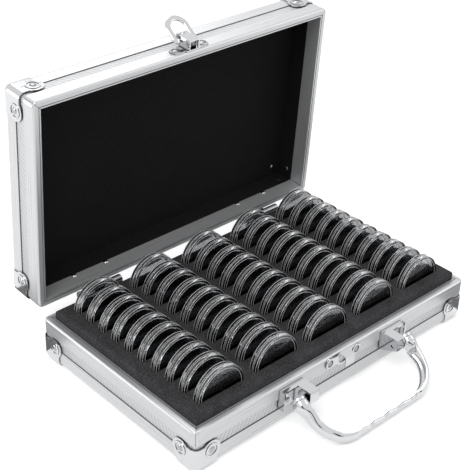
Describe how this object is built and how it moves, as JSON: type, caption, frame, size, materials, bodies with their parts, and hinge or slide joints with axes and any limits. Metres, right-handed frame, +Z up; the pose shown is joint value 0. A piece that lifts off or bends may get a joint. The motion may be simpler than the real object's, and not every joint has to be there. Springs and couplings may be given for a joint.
{
  "type": "coin display case",
  "caption": "Shallow aluminium-framed case with a hinged lid, draw latch and bail handle, holding clear round capsules upright in rows of slots in a foam block.",
  "frame": {"origin": "the middle of the object's width and of its depth with the lid open, on the surface that the undersides of the four lower corner caps stand on", "axes": "+X to the right along the long side, +Y from the handle side to the hinge side, +Z up; the lid is open"},
  "size_m": [0.322, 0.2934, 0.259],
  "materials": {
    "textured_board": "satin",
    "aluminium_extrusion": "satin",
    "chrome_fittings": "polished",
    "rivet_steel": "satin",
    "pin_steel": "satin",
    "hinge_steel": "satin",
    "foam": "matte",
    "lining_cloth": "matte",
    "clear_plastic": "polished"
  },
  "bodies": {
    "base": {"base_bottom_panel": "textured_board", "base_front_panel": "textured_board", "base_back_panel": "textured_board", "base_left_panel": "textured_board", "base_right_panel": "textured_board", "base_rim": "aluminium_extrusion", "base_edge_trims": "aluminium_extrusion", "base_corner_caps": "chrome_fittings", "base_cap_rivets": "rivet_steel", "foam_insert": "foam", "catch_plate": "chrome_fittings", "catch_rivets": "rivet_steel", "handle_bracket_left": "chrome_fittings", "handle_bracket_right": "chrome_fittings", "bracket_rivets": "rivet_steel", "handle_pins": "pin_steel", "hinge_base_leaves": "hinge_steel", "hinge_pins": "pin_steel", "hinge_base_rivets": "rivet_steel", "capsule_fronts_column_1": "clear_plastic", "capsule_fronts_column_2": "clear_plastic", "capsule_fronts_column_3": "clear_plastic", "capsule_fronts_column_4": "clear_plastic", "capsule_fronts_column_5": "clear_plastic", "capsule_backs_column_1": "clear_plastic", "capsule_backs_column_2": "clear_plastic", "capsule_backs_column_3": "clear_plastic", "capsule_backs_column_4": "clear_plastic", "capsule_backs_column_5": "clear_plastic"},
    "lid": {"lid_top_panel": "textured_board", "lid_front_panel": "textured_board", "lid_back_panel": "textured_board", "lid_left_panel": "textured_board", "lid_right_panel": "textured_board", "lid_rim": "aluminium_extrusion", "lid_edge_trims": "aluminium_extrusion", "lid_corner_caps": "chrome_fittings", "lid_cap_rivets": "rivet_steel", "lid_lining_top": "lining_cloth", "lid_lining_walls": "lining_cloth", "hinge_lid_leaves": "hinge_steel", "hinge_lid_rivets": "rivet_steel", "latch_plate": "chrome_fittings", "latch_rivets": "rivet_steel", "lever_pin": "pin_steel"},
    "latch_lever": {"latch_lever": "chrome_fittings"},
    "latch_loop": {"latch_loop": "chrome_fittings"},
    "handle": {"handle": "chrome_fittings"},
    "capsule_1": {"loose_capsule_front_1": "clear_plastic", "loose_capsule_back_1": "clear_plastic"},
    "capsule_2": {"loose_capsule_front_2": "clear_plastic", "loose_capsule_back_2": "clear_plastic"},
    "capsule_3": {"loose_capsule_front_3": "clear_plastic", "loose_capsule_back_3": "clear_plastic"},
    "capsule_4": {"loose_capsule_front_4": "clear_plastic", "loose_capsule_back_4": "clear_plastic"},
    "capsule_5": {"loose_capsule_front_5": "clear_plastic", "loose_capsule_back_5": "clear_plastic"}
  },
  "joints": [
    {"name": "lid_hinge", "type": "hinge", "parent": "base", "child": "lid", "pos_m": [0, 0.10675, 0.03965], "axis": [1, 0, 0], "range_deg": [0, 87]},
    {"name": "latch_lever", "type": "hinge", "parent": "lid", "child": "latch_lever", "pos_m": [0, 0.09979, 0.24397], "axis": [-1, 0, 0], "range_deg": [-90, 0]},
    {"name": "latch_loop", "type": "hinge", "parent": "latch_lever", "child": "latch_loop", "pos_m": [0, 0.10889, 0.24434], "axis": [1, 0, 0], "range_deg": [-44, 151.69]},
    {"name": "handle_swing", "type": "hinge", "parent": "base", "child": "handle", "pos_m": [0, -0.10525, 0.028], "axis": [1, 0, 0], "range_deg": [-31.61, 58.39]},
    {"name": "capsule_1_lift", "type": "slide", "parent": "base", "child": "capsule_1", "axis": [0, 0, -1], "range_m": [-0.03, 0]},
    {"name": "capsule_2_lift", "type": "slide", "parent": "base", "child": "capsule_2", "axis": [0, 0, -1], "range_m": [-0.03, 0]},
    {"name": "capsule_3_lift", "type": "slide", "parent": "base", "child": "capsule_3", "axis": [0, 0, -1], "range_m": [-0.03, 0]},
    {"name": "capsule_4_lift", "type": "slide", "parent": "base", "child": "capsule_4", "axis": [0, 0, -1], "range_m": [-0.03, 0]},
    {"name": "capsule_5_lift", "type": "slide", "parent": "base", "child": "capsule_5", "axis": [0, 0, -1], "range_m": [-0.03, 0]}
  ]
}
